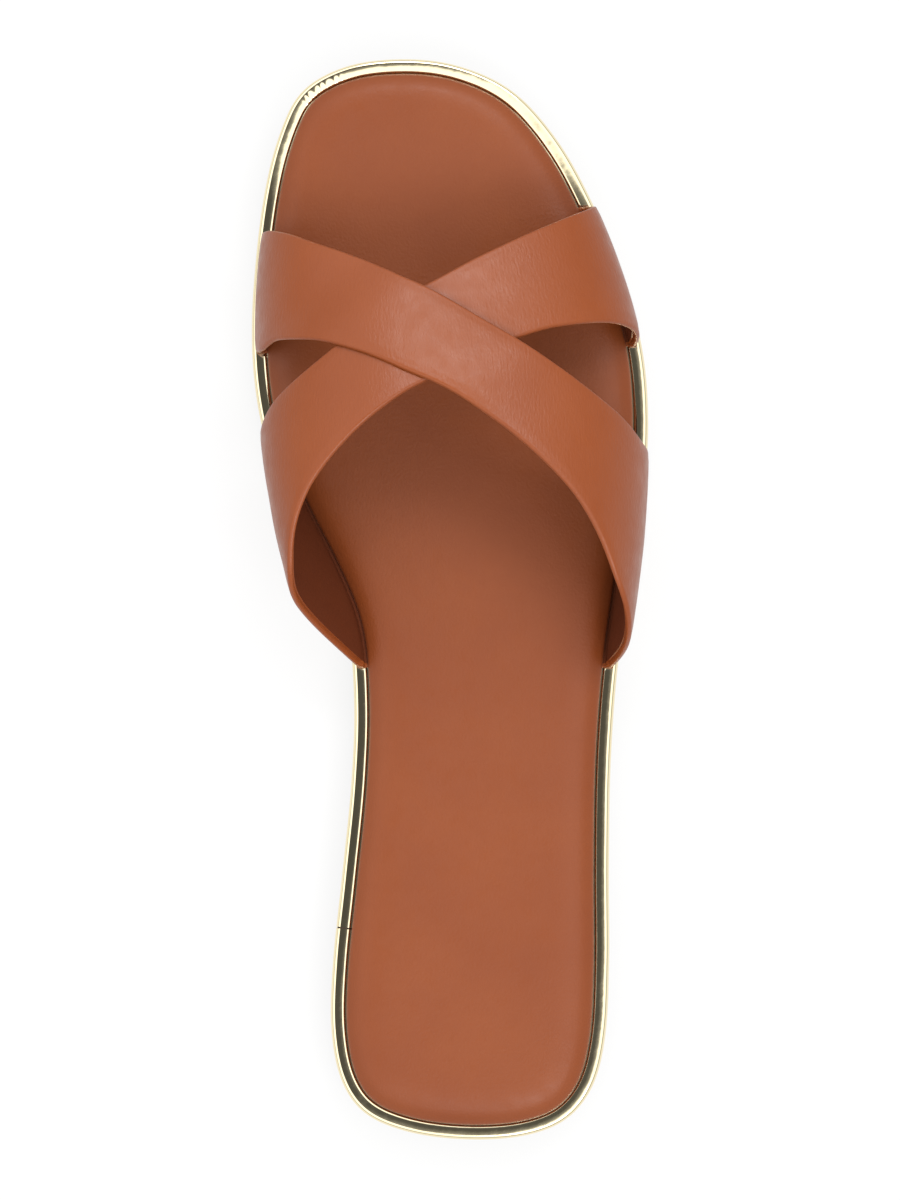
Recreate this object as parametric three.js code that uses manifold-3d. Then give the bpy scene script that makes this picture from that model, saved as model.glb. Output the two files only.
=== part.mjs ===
// Cross strap slide sandal for the right foot, in millimetres.
// +Z is up, +Y points to the toe and +X to the outer side of the foot.
// The origin lies on the floor, under the middle of the sole's length and width.
import * as THREE from "three";
import { mergeVertices } from "three/addons/utils/BufferGeometryUtils.js";
import Module from "manifold-3d";

// Sole, seen from above
const SOLE_LENGTH = 255;
const BALL_WIDTH = 94;
const RIM_WIDTH = 3.3;
const OUTSOLE_INSET = 0.8;

// Sole, seen from the side
const OUTSOLE_THICKNESS = 3;
const HEEL_RISE = 4;
const ARCH_RISE = 2.6;
const TOE_SPRING = 6.5;
const OUTSOLE_CHAMFER = 0.9;

// Gold rand that wraps the platform
const RAND_HEIGHT = 8.5;
const RAND_WALL = 1.5;
const SHOULDER_RADIUS = 1.5;
const BEAD_DROP = 0.6;
const BEAD_ROLL = 0.7;
const LIP_THICKNESS = 1.1;
const LIP_REACH = 1.4;
const RAND_FOOT_ROUND = 0.5;
const SEAM_GAP = 0.4;
const SEAM_ALONG = 0.197; // share of the sole's length from the heel, on the inner side

// Padded insole
const INSOLE_THICKNESS = 5.6;
const INSOLE_FOOT_ROUND = 0.5;
const PAD_ROLL = 15; // width of the padded roll from the edge to the level top

// Straps
const STRAP_THICKNESS = 2;
const STRAP_HEIGHT = 60; // from the insole's seat to the top line of the last at the waist
const STRAP_GAP = 0.35; // from the strap to the insole's edge and to its seat
const LASTING_MARGIN = 7; // strap end that is turned in under the insole
const SKIVED_THICKNESS = 1; // of that end
const TURN_RADIUS = 1.5; // of the strap's middle, where it turns in
const CROSSING_BITE = 0.45; // how far the upper strap sinks into the lower one where they are joined
const CROSSING_RAMP = 10; // length over which the upper strap climbs onto the lower one
const SECTION_FULLNESS = 0.92; // exponent of the last's section: 1 is an ellipse, less is fuller

// Tread
const GROOVE_WIDTH = 1.6;
const GROOVE_DEPTH = 1.1;
const GROOVE_PITCH = 6.4;
const TREAD_BORDER = 8;

// Fits and steps of the curved surfaces
const CLEARANCE = 0.3;
const OUTLINE_STEPS = 112;
const WALL_STEPS = 32;
const TURN_STEPS = 3;
const ACROSS_STEPS = 6;
const ROUND_STEPS = 4;

// Outline of the sole, from the heel's back round the outer side to the toe and home along the inner side.
// along: share of the length from the heel. side: share of the ball width, outer side positive.
const OUTLINE = [
  { along: 0.0, side: 0.048 },
  { along: 0.0045, side: 0.2 },
  { along: 0.0195, side: 0.297 },
  { along: 0.049, side: 0.36 },
  { along: 0.092, side: 0.391 },
  { along: 0.157, side: 0.402 },
  { along: 0.255, side: 0.402 },
  { along: 0.351, side: 0.407 },
  { along: 0.435, side: 0.424 },
  { along: 0.518, side: 0.456 },
  { along: 0.597, side: 0.49 },
  { along: 0.662, side: 0.502 },
  { along: 0.727, side: 0.49 },
  { along: 0.792, side: 0.446 },
  { along: 0.863, side: 0.368 },
  { along: 0.926, side: 0.272 },
  { along: 0.972, side: 0.155 },
  { along: 0.995, side: 0.012 },
  { along: 1.0, side: -0.125 },
  { along: 0.993, side: -0.262 },
  { along: 0.97, side: -0.372 },
  { along: 0.931, side: -0.427 },
  { along: 0.884, side: -0.462 },
  { along: 0.819, side: -0.487 },
  { along: 0.754, side: -0.498 },
  { along: 0.698, side: -0.49 },
  { along: 0.641, side: -0.458 },
  { along: 0.583, side: -0.392 },
  { along: 0.527, side: -0.315 },
  { along: 0.474, side: -0.258 },
  { along: 0.407, side: -0.24 },
  { along: 0.333, side: -0.246 },
  { along: 0.24, side: -0.271 },
  { along: 0.161, side: -0.293 },
  { along: 0.101, side: -0.296 },
  { along: 0.055, side: -0.271 },
  { along: 0.026, side: -0.218 },
  { along: 0.008, side: -0.112 },
];

// Side view of the sole: how much of the heel rise, arch rise and toe spring there is along its length.
const SIDE_VIEW = [
  { along: 0.0, heel: 1, arch: 0, toe: 0 },
  { along: 0.14, heel: 0.98, arch: 0, toe: 0 },
  { along: 0.26, heel: 0.85, arch: 0, toe: 0 },
  { along: 0.34, heel: 0.66, arch: 0.7, toe: 0 },
  { along: 0.42, heel: 0.43, arch: 1, toe: 0 },
  { along: 0.5, heel: 0.2, arch: 0.62, toe: 0 },
  { along: 0.58, heel: 0.05, arch: 0, toe: 0 },
  { along: 0.66, heel: 0, arch: 0, toe: 0 },
  { along: 0.76, heel: 0, arch: 0, toe: 0 },
  { along: 0.86, heel: 0, arch: 0, toe: 0.2 },
  { along: 0.94, heel: 0, arch: 0, toe: 0.6 },
  { along: 1.0, heel: 0, arch: 0, toe: 1 },
];

// Rolled edge of the insole: height as a share of its thickness, inwards as a share of the padded roll.
const PAD_SECTION = [
  { inwards: 0.0, height: 0.3 },
  { inwards: 0.02, height: 0.46 },
  { inwards: 0.08, height: 0.61 },
  { inwards: 0.2, height: 0.75 },
  { inwards: 0.38, height: 0.87 },
  { inwards: 0.62, height: 0.96 },
  { inwards: 1.0, height: 1.0 },
];

// Sections of the last that the straps lie on. height: share of the strap height. ridge: where its top line lies, as a
// share of the ball width. inner, outer: how far the wall swells past the insole's edge, as a share of the ball width.
const LAST = [
  { along: 0.42, height: 1.0, ridge: -0.09, inner: 0.14, outer: 0.068 },
  { along: 0.48, height: 0.95, ridge: -0.09, inner: 0.147, outer: 0.07 },
  { along: 0.54, height: 0.88, ridge: -0.09, inner: 0.126, outer: 0.066 },
  { along: 0.6, height: 0.8, ridge: -0.09, inner: 0.081, outer: 0.049 },
  { along: 0.66, height: 0.72, ridge: -0.09, inner: 0.038, outer: 0.032 },
  { along: 0.72, height: 0.64, ridge: -0.095, inner: 0.011, outer: 0.031 },
  { along: 0.78, height: 0.56, ridge: -0.1, inner: 0.006, outer: 0.037 },
  { along: 0.84, height: 0.49, ridge: -0.105, inner: 0.006, outer: 0.039 },
  { along: 0.9, height: 0.43, ridge: -0.11, inner: 0.006, outer: 0.039 },
];

// Edges of the two straps. round: share of the way over the foot, from the inner side to the outer side.
// front, rear: share of the sole's length from the heel.
const OVER_STRAP = [
  { round: 0.0, front: 0.839, rear: 0.729 },
  { round: 0.1, front: 0.839, rear: 0.728 },
  { round: 0.2, front: 0.835, rear: 0.736 },
  { round: 0.3, front: 0.824, rear: 0.734 },
  { round: 0.4, front: 0.81, rear: 0.723 },
  { round: 0.5, front: 0.787, rear: 0.701 },
  { round: 0.6, front: 0.746, rear: 0.66 },
  { round: 0.7, front: 0.706, rear: 0.601 },
  { round: 0.8, front: 0.669, rear: 0.514 },
  { round: 0.9, front: 0.641, rear: 0.464 },
  { round: 1.0, front: 0.632, rear: 0.437 },
];
const UNDER_STRAP = [
  { round: 0.0, front: 0.648, rear: 0.437 },
  { round: 0.1, front: 0.655, rear: 0.481 },
  { round: 0.2, front: 0.682, rear: 0.522 },
  { round: 0.3, front: 0.711, rear: 0.603 },
  { round: 0.4, front: 0.743, rear: 0.654 },
  { round: 0.5, front: 0.777, rear: 0.69 },
  { round: 0.6, front: 0.812, rear: 0.726 },
  { round: 0.7, front: 0.837, rear: 0.747 },
  { round: 0.8, front: 0.853, rear: 0.752 },
  { round: 0.9, front: 0.861, rear: 0.747 },
  { round: 1.0, front: 0.864, rear: 0.735 },
];

const wasm = await Module();
wasm.setup();

// A smooth function through one column of a table that never swings past its rows.
function through(rows, key, column) {
  const x = rows.map((row) => row[key]);
  const y = rows.map((row) => row[column]);
  const last = x.length - 1;
  const step = (i) => (y[i + 1] - y[i]) / (x[i + 1] - x[i]);
  const slope = x.map((_, i) => {
    if (i === 0) return step(0);
    if (i === last) return step(last - 1);
    const before = step(i - 1);
    const after = step(i);
    return before * after <= 0 ? 0 : (2 * before * after) / (before + after);
  });
  return (at) => {
    const c = THREE.MathUtils.clamp(at, x[0], x[last]);
    let i = 0;
    while (i < last - 1 && c > x[i + 1]) i += 1;
    const width = x[i + 1] - x[i];
    const t = (c - x[i]) / width;
    const rise = (y[i + 1] - y[i]) * t * t * (3 - 2 * t);
    const lean = width * t * (1 - t) * (slope[i] * (1 - t) - slope[i + 1] * t);
    return y[i] + rise + lean;
  };
}

const shareAt = (y) => y / SOLE_LENGTH + 0.5;
const lengthAt = (along) => (along - 0.5) * SOLE_LENGTH;

// Heights of the layers over the floor, at a place along the shoe
const heelAt = through(SIDE_VIEW, "along", "heel");
const archAt = through(SIDE_VIEW, "along", "arch");
const toeAt = through(SIDE_VIEW, "along", "toe");
const groundZ = (y) => archAt(shareAt(y)) * ARCH_RISE + toeAt(shareAt(y)) * TOE_SPRING;
const outsoleTopZ = (y) =>
  OUTSOLE_THICKNESS + heelAt(shareAt(y)) * HEEL_RISE + toeAt(shareAt(y)) * TOE_SPRING;
const platformZ = (y) => outsoleTopZ(y) + CLEARANCE;
const rimZ = (y) => platformZ(y) + RAND_HEIGHT;
const seatZ = (y) => rimZ(y) - BEAD_DROP;
const insoleZ = (y) => seatZ(y) + CLEARANCE;

// Outline points of the sole with their outward directions, anticlockwise from above
function sampleOutline() {
  const points = OUTLINE.map(
    ({ along, side }) => new THREE.Vector3(side * BALL_WIDTH, lengthAt(along), 0),
  );
  const curve = new THREE.CatmullRomCurve3(points, true, "centripetal");
  const samples = curve.getSpacedPoints(OUTLINE_STEPS).slice(0, OUTLINE_STEPS);
  const middle = new THREE.Box3().setFromPoints(samples).getCenter(new THREE.Vector3());
  samples.forEach((point) => point.sub(middle));
  return samples.map((point, i) => {
    const next = samples[(i + 1) % OUTLINE_STEPS];
    const before = samples[(i + OUTLINE_STEPS - 1) % OUTLINE_STEPS];
    const run = next.clone().sub(before).normalize();
    return { point, outward: new THREE.Vector3(run.y, -run.x, 0) };
  });
}
const outline = sampleOutline();

// The outline drawn inwards by an inset, at the height that a function of y gives
function ring(inset, heightAt) {
  return outline.map(({ point, outward }) => {
    const moved = point.clone().addScaledVector(outward, -inset);
    return moved.setZ(heightAt(moved.y));
  });
}

// The x of the inset outline at a y, on the inner or the outer side
function edgeFinder(inset) {
  const points = ring(inset, () => 0);
  return (y, outer) => {
    const crossings = points.flatMap((a, i) => {
      const b = points[(i + 1) % points.length];
      if (a.y > y === b.y > y) return [];
      return [a.x + ((y - a.y) / (b.y - a.y)) * (b.x - a.x)];
    });
    return outer ? Math.max(...crossings) : Math.min(...crossings);
  };
}

// Geometry and solids
function geometryOf(points, faces) {
  const geometry = new THREE.BufferGeometry().setFromPoints(points);
  geometry.setIndex(faces.flat());
  return geometry;
}

function solidOf(geometry) {
  const bare = new THREE.BufferGeometry();
  bare.setAttribute("position", geometry.getAttribute("position"));
  bare.setIndex(geometry.getIndex());
  const merged = mergeVertices(bare);
  return new wasm.Manifold(
    new wasm.Mesh({
      numProp: 3,
      vertProperties: new Float32Array(merged.getAttribute("position").array),
      triVerts: new Uint32Array(merged.getIndex().array),
    }),
  );
}

function geometryFrom(solid) {
  const { vertProperties, triVerts } = solid.getMesh();
  const geometry = new THREE.BufferGeometry();
  geometry.setAttribute("position", new THREE.BufferAttribute(vertProperties, 3));
  geometry.setIndex(new THREE.BufferAttribute(triVerts, 1));
  geometry.computeVertexNormals();
  return geometry;
}

// Faces between ring a and ring b of one point count, where b lies above a or inside it
function bandFaces(a, b, count) {
  const faces = [];
  for (let i = 0; i < count; i += 1) {
    const j = (i + 1) % count;
    faces.push([a + i, a + j, b + j], [a + i, b + j, b + i]);
  }
  return faces;
}

// Upward faces across a ring, from its heel end to its toe end, as the rungs of a ladder
function ladderFaces(points, first) {
  const count = points.length;
  const ys = points.map((point) => point.y);
  const heel = ys.indexOf(Math.min(...ys));
  const toe = ys.indexOf(Math.max(...ys));
  const rightCount = (toe - heel + count) % count;
  const leftCount = count - rightCount;
  const right = (i) => (heel + i) % count;
  const left = (i) => (heel - i + count) % count;
  const faces = [];
  let r = 0;
  let l = 0;
  while (r < rightCount || l < leftCount) {
    const nextRight = r < rightCount ? ys[right(r + 1)] : Infinity;
    const nextLeft = l < leftCount ? ys[left(l + 1)] : Infinity;
    if (nextRight <= nextLeft) {
      if (right(r) !== left(l) && right(r + 1) !== left(l)) {
        faces.push([first + right(r), first + right(r + 1), first + left(l)]);
      }
      r += 1;
    } else {
      if (right(r) !== left(l) && right(r) !== left(l + 1)) {
        faces.push([first + right(r), first + left(l + 1), first + left(l)]);
      }
      l += 1;
    }
  }
  return faces;
}

// A closed body from rings that follow each other upwards or onwards, each anticlockwise seen from ahead
function stack(rings) {
  const count = rings[0].length;
  const faces = rings.slice(1).flatMap((_, i) => bandFaces(i * count, (i + 1) * count, count));
  const foot = ladderFaces(rings[0], 0).map(([a, b, c]) => [a, c, b]);
  const top = ladderFaces(rings.at(-1), (rings.length - 1) * count);
  return geometryOf(rings.flat(), [...faces, ...foot, ...top]);
}

// A closed hoop from rings that follow each other round a section
function hoop(rings) {
  const count = rings[0].length;
  const faces = rings.flatMap((_, i) =>
    bandFaces(i * count, ((i + 1) % rings.length) * count, count),
  );
  return geometryOf(rings.flat(), faces);
}

// Outsole: a rubber unit with its flat treads at the heel and the forefoot
function treadGrooves() {
  const border = stack([
    ring(TREAD_BORDER, () => -GROOVE_DEPTH),
    ring(TREAD_BORDER, () => TOE_SPRING + GROOVE_DEPTH),
  ]);
  const count = Math.floor((SOLE_LENGTH - 2 * TREAD_BORDER) / GROOVE_PITCH);
  const bars = [];
  for (let i = 0; i <= count; i += 1) {
    const y = (i - count / 2) * GROOVE_PITCH;
    if (archAt(shareAt(y)) > 0) continue;
    const bar = new THREE.BoxGeometry(BALL_WIDTH, GROOVE_WIDTH, 2 * GROOVE_DEPTH);
    bar.translate(0, y, groundZ(y));
    bar.deleteAttribute("normal");
    bar.deleteAttribute("uv");
    bars.push(solidOf(bar));
  }
  return bars.reduce((all, bar) => all.add(bar)).intersect(solidOf(border));
}

function outsole() {
  const chamfer = (y) => groundZ(y) + OUTSOLE_CHAMFER;
  const blank = stack([
    ring(OUTSOLE_INSET + OUTSOLE_CHAMFER, groundZ),
    ring(OUTSOLE_INSET, chamfer),
    ring(OUTSOLE_INSET, outsoleTopZ),
  ]);
  return geometryFrom(solidOf(blank).subtract(treadGrooves()));
}

// Midsole: the platform inside the rand, rebated for the rand's lip
function midsole() {
  const inset = RAND_WALL + CLEARANCE;
  const rebate = RIM_WIDTH + LIP_REACH + CLEARANCE;
  const shelfZ = (y) => seatZ(y) - LIP_THICKNESS - CLEARANCE;
  return stack([ring(inset, platformZ), ring(inset, shelfZ), ring(rebate, shelfZ), ring(rebate, seatZ)]);
}

// Rand: side wall, round shoulder, bead and the lip that the insole covers
function randSection() {
  const section = [
    { inset: RAND_FOOT_ROUND, heightAt: platformZ },
    { inset: 0, heightAt: (y) => platformZ(y) + RAND_FOOT_ROUND },
  ];
  for (let i = 0; i <= ROUND_STEPS; i += 1) {
    const turn = (i / ROUND_STEPS) * (Math.PI / 2);
    const drop = SHOULDER_RADIUS * (1 - Math.sin(turn));
    const inset = SHOULDER_RADIUS * (1 - Math.cos(turn));
    section.push({ inset, heightAt: (y) => rimZ(y) - drop });
  }
  const underLipZ = (y) => seatZ(y) - LIP_THICKNESS;
  section.push(
    { inset: RIM_WIDTH - BEAD_ROLL, heightAt: rimZ },
    { inset: RIM_WIDTH - BEAD_ROLL * 0.3, heightAt: (y) => rimZ(y) - BEAD_DROP * 0.3 },
    { inset: RIM_WIDTH, heightAt: seatZ },
    { inset: RIM_WIDTH + LIP_REACH, heightAt: seatZ },
    { inset: RIM_WIDTH + LIP_REACH, heightAt: underLipZ },
    { inset: RAND_WALL, heightAt: underLipZ },
    { inset: RAND_WALL, heightAt: platformZ },
  );
  return section;
}

function seamCut() {
  const y = lengthAt(SEAM_ALONG);
  const reach = 2 * (RIM_WIDTH + LIP_REACH);
  const cut = new THREE.BoxGeometry(2 * reach, SEAM_GAP, 4 * RAND_HEIGHT);
  cut.translate(edgeFinder(0)(y, false), y, rimZ(y));
  cut.deleteAttribute("normal");
  cut.deleteAttribute("uv");
  return solidOf(cut);
}

function rand(strapRoom) {
  const blank = hoop(randSection().map(({ inset, heightAt }) => ring(inset, heightAt)));
  return geometryFrom(solidOf(blank).subtract(seamCut()).subtract(strapRoom));
}

// Insole: a padded board with a rolled edge, recessed underneath for the turned-in strap ends
function insole(strapRoom) {
  const rings = [
    ring(RIM_WIDTH + INSOLE_FOOT_ROUND, insoleZ),
    ...PAD_SECTION.map(({ inwards, height }) =>
      ring(RIM_WIDTH + inwards * PAD_ROLL, (y) => insoleZ(y) + height * INSOLE_THICKNESS),
    ),
  ];
  return geometryFrom(solidOf(stack(rings)).subtract(strapRoom));
}

// The middle surface of the straps. round runs from 0 at the inner edge of the insole to 1 at the outer edge.
// Past either end the strap turns down and in under the insole, skived thinner.
const TURN_ROUND = 0.1;
const TAB_ROUND = 0.2;
const BELLY_PEAK = 4 / Math.sqrt(27); // largest value of sin(2a) cos(a), the shape of the walls' swell
const lastHeight = through(LAST, "along", "height");
const lastRidge = through(LAST, "along", "ridge");
const lastInner = through(LAST, "along", "inner");
const lastOuter = through(LAST, "along", "outer");
const strapEdge = edgeFinder(RIM_WIDTH - STRAP_GAP - STRAP_THICKNESS / 2);
const pastEnd = (round) => Math.max(-round, round - 1, 0);

function halfThickness(round) {
  const skive = THREE.MathUtils.smoothstep(pastEnd(round), 0, TURN_ROUND);
  return THREE.MathUtils.lerp(STRAP_THICKNESS, SKIVED_THICKNESS, skive) / 2;
}

function lastPoint(round, y) {
  const share = shareAt(y);
  const outer = round > 0.5;
  const side = outer ? 1 : -1;
  const edge = strapEdge(y, outer);
  const turnZ = seatZ(y) + STRAP_GAP + SKIVED_THICKNESS / 2 + TURN_RADIUS;
  const past = pastEnd(round);
  if (past > 0) {
    const turn = Math.min(past / TURN_ROUND, 1) * (Math.PI / 2);
    const run = (Math.max(past - TURN_ROUND, 0) / TAB_ROUND) * LASTING_MARGIN;
    const inwards = TURN_RADIUS * (1 - Math.cos(turn)) + run;
    return new THREE.Vector3(edge - side * inwards, y, turnZ - TURN_RADIUS * Math.sin(turn));
  }
  const angle = Math.min(round, 1 - round) * Math.PI;
  const ridge = lastRidge(share) * BALL_WIDTH;
  const swell = (outer ? lastOuter(share) : lastInner(share)) * BALL_WIDTH;
  const reach = (edge - ridge) * Math.pow(Math.cos(angle), SECTION_FULLNESS);
  const belly = (side * swell * Math.sin(2 * angle) * Math.cos(angle)) / BELLY_PEAK;
  const height = lastHeight(share) * STRAP_HEIGHT * Math.pow(Math.sin(angle), SECTION_FULLNESS);
  return new THREE.Vector3(ridge + reach + belly, y, turnZ + height);
}

function surfaceNormal(pointAt, round, y) {
  const roundStep = 0.004;
  const yStep = 0.5;
  const alongRound = pointAt(round + roundStep, y).sub(pointAt(round - roundStep, y));
  const alongY = pointAt(round, y + yStep).sub(pointAt(round, y - yStep));
  return alongRound.cross(alongY).normalize();
}

// One strap: its edges along the shoe, and its middle surface with any lift off the last
function strap(rows, liftAt) {
  const front = through(rows, "round", "front");
  const rear = through(rows, "round", "rear");
  return {
    frontAt: (round) => lengthAt(front(round)),
    rearAt: (round) => lengthAt(rear(round)),
    pointAt: (round, y) => {
      const lift = liftAt(round, y);
      const point = lastPoint(round, y);
      return lift > 0 ? point.addScaledVector(surfaceNormal(lastPoint, round, y), lift) : point;
    },
  };
}

const underStrap = strap(UNDER_STRAP, () => 0);
const overStrap = strap(OVER_STRAP, (round, y) => {
  const outside = Math.max(underStrap.rearAt(round) - y, y - underStrap.frontAt(round));
  const climb = 1 - THREE.MathUtils.smoothstep(outside, 0, CROSSING_RAMP);
  return (STRAP_THICKNESS - CROSSING_BITE) * climb;
});

// Where the sections of a strap lie on its way round, from one turned-in end to the other
function strapStations() {
  const turns = Array.from({ length: TURN_STEPS }, (_, i) => ((i + 1) / TURN_STEPS) * TURN_ROUND);
  const past = [...turns, TURN_ROUND + TAB_ROUND];
  const wall = Array.from({ length: WALL_STEPS + 1 }, (_, i) => i / WALL_STEPS);
  return [...past.map((p) => -p).reverse(), ...wall, ...past.map((p) => 1 + p)];
}

// A strap's section: flat faces with round edges, grown on all sides by a margin
function strapSection({ pointAt, frontAt, rearAt }, round, grown) {
  const half = halfThickness(round) + grown;
  const front = frontAt(round) + grown - half;
  const rear = rearAt(round) - grown + half;
  const place = (y, offset) =>
    pointAt(round, y).addScaledVector(surfaceNormal(pointAt, round, y), offset);
  const across = Array.from({ length: ACROSS_STEPS + 1 }, (_, i) => i / ACROSS_STEPS);
  const flat = across.map((share) => THREE.MathUtils.lerp(front, rear, share));
  const bend = Array.from({ length: ROUND_STEPS - 1 }, (_, i) => ((i + 1) / ROUND_STEPS) * Math.PI);
  return [
    ...flat.map((y) => place(y, half)),
    ...bend.map((turn) => place(rear - half * Math.sin(turn), half * Math.cos(turn))),
    ...flat.toReversed().map((y) => place(y, -half)),
    ...bend.map((turn) => place(front + half * Math.sin(turn), -half * Math.cos(turn))),
  ];
}

function straps(grown) {
  const bodies = [underStrap, overStrap].map((one) =>
    solidOf(stack(strapStations().map((round) => strapSection(one, round, grown)))),
  );
  return bodies[0].add(bodies[1]);
}

const rubber = new THREE.MeshStandardMaterial({ name: "rubber", color: "#5b3524", roughness: 0.8 });
const foam = new THREE.MeshStandardMaterial({ name: "foam", color: "#8a5a3c", roughness: 0.9 });
const gold = new THREE.MeshStandardMaterial({
  name: "gold finish",
  color: "#d8bd7a",
  roughness: 0.25,
  metalness: 1,
});
const leather = new THREE.MeshStandardMaterial({ name: "tan leather", color: "#a86040", roughness: 0.5 });

function node(name, geometry, material) {
  const mesh = new THREE.Mesh(geometry, material);
  mesh.name = name;
  return mesh;
}

const strapRoom = straps(CLEARANCE);
const sandal = new THREE.Group();
sandal.name = "cross_strap_sandal";
sandal.add(
  node("outsole", outsole(), rubber),
  node("midsole", midsole(), foam),
  node("rand", rand(strapRoom), gold),
  node("insole", insole(strapRoom), leather),
  node("upper", geometryFrom(straps(0)), leather),
);

export default sandal;
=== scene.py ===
import math

import bmesh
import bpy
import numpy as np
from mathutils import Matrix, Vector


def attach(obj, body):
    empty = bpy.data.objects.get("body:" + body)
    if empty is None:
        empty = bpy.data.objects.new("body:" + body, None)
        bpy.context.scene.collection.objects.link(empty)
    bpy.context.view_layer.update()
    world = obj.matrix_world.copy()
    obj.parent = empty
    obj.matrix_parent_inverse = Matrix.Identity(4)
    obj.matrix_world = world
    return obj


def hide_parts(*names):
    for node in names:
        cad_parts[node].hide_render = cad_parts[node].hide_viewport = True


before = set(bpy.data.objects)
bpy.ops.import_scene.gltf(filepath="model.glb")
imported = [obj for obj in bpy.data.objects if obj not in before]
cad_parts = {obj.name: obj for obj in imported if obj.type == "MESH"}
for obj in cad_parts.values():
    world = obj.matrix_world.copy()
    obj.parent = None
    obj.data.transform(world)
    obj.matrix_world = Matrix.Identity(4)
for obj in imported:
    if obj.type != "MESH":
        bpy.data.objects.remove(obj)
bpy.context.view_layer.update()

MM = 0.001

# Sole
SOLE_LENGTH = 255
BALL_WIDTH = 94
RIM_WIDTH = 3.3
OUTSOLE_INSET = 0.8
OUTSOLE_THICKNESS = 3
HEEL_RISE = 4
ARCH_RISE = 2.6
TOE_SPRING = 6.5
OUTSOLE_CHAMFER = 0.9
OUTSOLE_TOP_ROUND = 0.25
CLEARANCE = 0.3

# Rand
RAND_HEIGHT = 8.5
RAND_WALL = 1.5
RAND_FOOT_ROUND = 0.5
SHOULDER_RADIUS = 1.5
SHOULDER_REACH = 1.15
BEAD_DROP = 0.6
BEAD_ROLL = 0.55
BEAD_SLOPE = 0.26
BEAD_SLOPE_ANGLE = 10.5
BEAD_EASE = 0.03
LIP_THICKNESS = 1.1
LIP_REACH = 1.4
SEAM_GAP = 0.4
SEAM_ALONG = 0.197
SEAM_RECESS = 0.3
RIPPLE_HEIGHT = 0.055
RIPPLE_PITCH = 1.9
RIPPLE_INSET = (1.3, 2.4)
RIPPLE_REACH = 7.5
RIPPLE_PLACE = (-30, 120.5)
STRAP_PASS_INSET = 1.7
STRAP_PASS_EASE = (0.1, 1.2)

# Insole
INSOLE_THICKNESS = 5.6
INSOLE_FOOT_ROUND = 0.5
PAD_ROLL = 15
COVER_SETBACK = 0.45
TAB_HOLLOW = 1.35
TAB_HOLLOW_INSETS = (13.5, 12.8, 4.3)

# Straps
STRAP_THICKNESS = 2
STRAP_HEIGHT = 60
STRAP_GAP = 0.35
LASTING_MARGIN = 7
SKIVED_THICKNESS = 1
TURN_RADIUS = 1.5
TURN_ROUND = 0.1
TAB_ROUND = 0.2
CROSSING_BITE = 0.45
CROSSING_RAMP = 18
SECTION_FULLNESS = 0.92
BELLY_PEAK = 4 / math.sqrt(27)
FRONT_EDGE_ROUND = 0.45
REAR_EDGE_ROUND = 0.8
EDGE_PINCH = 0.12
PINCH_REACH = 2.4
LINING_THICKNESS = 0.3
LINING_SETBACK = 0.55
LINING_PINCH = 0.5
LINING_PINCH_REACH = 3.6
UNEVEN_HEIGHT = 0.05

# Tread
GROOVE_WIDTH = 1.6
GROOVE_DEPTH = 1.1
GROOVE_DRAFT = 0.2
GROOVE_PITCH = 6.4
TREAD_BORDER = 8
SHORTEST_GROOVE = 4

# Mesh steps
OUTLINE_SAMPLES = 4096
OUTLINE_SMOOTHING = 3.5
CURVE_STEPS = 120
ROWS = 300
CAP_MARGIN = 0.34
CAP_END = 0.12
RAND_STATIONS = 960
RIPPLE_STATIONS = 96
WALL_STATIONS = 190
TURN_STATIONS = 9
TAB_STATIONS = 5
ACROSS = 44
LINING_ACROSS = 16
EDGE_ARC = 9
MIDDLE_SMOOTHING = 8
OUTSOLE_ROWS = 141
PAD_RINGS = (0.004, 0.01, 0.02, 0.035, 0.055, 0.08, 0.11, 0.15, 0.19, 0.22, 0.25, 0.28, 0.32, 0.38)
PAD_TOP_RINGS = 22
PAD_FOOT_RINGS = 5

# Grain of the straps: places of the edges, linings and straps on one sheet
EDGE_GRAIN = (0.3, 2.6)
LINING_GRAIN = 60
STRAP_GRAIN = 300

# Camera: height of its frame in pixels, its own height and that of the subject in metres, its sensor in mm
PIXELS_PER_MM = 4.23
FRAME_PIXELS = 1200
CAMERA_HEIGHT = 1.2
SUBJECT_HEIGHT = 0.014
SENSOR = 36

# Floor, in metres
FLOOR_REACH = 6.0
FLOOR_DEPTH = 0.0001
FLOOR_GLOW = 0.81

# Turns of the sky about X, Y and Z in degrees, which lean its dark spot
DARK_SPOT_LEAN = (2, 8, 0)

# Outline of the sole: share of the length from the heel, share of the ball width with the outer side positive
OUTLINE = [
    (0.0, 0.048),
    (0.0045, 0.2),
    (0.0195, 0.297),
    (0.049, 0.36),
    (0.092, 0.391),
    (0.157, 0.402),
    (0.255, 0.402),
    (0.351, 0.407),
    (0.435, 0.424),
    (0.518, 0.456),
    (0.597, 0.49),
    (0.662, 0.502),
    (0.727, 0.49),
    (0.792, 0.446),
    (0.863, 0.368),
    (0.926, 0.272),
    (0.972, 0.155),
    (0.995, 0.012),
    (1.0, -0.125),
    (0.993, -0.262),
    (0.97, -0.372),
    (0.931, -0.427),
    (0.884, -0.462),
    (0.819, -0.487),
    (0.754, -0.498),
    (0.698, -0.49),
    (0.641, -0.458),
    (0.583, -0.392),
    (0.527, -0.315),
    (0.474, -0.258),
    (0.407, -0.24),
    (0.333, -0.246),
    (0.24, -0.271),
    (0.161, -0.293),
    (0.101, -0.296),
    (0.055, -0.271),
    (0.026, -0.218),
    (0.008, -0.112),
]

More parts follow.
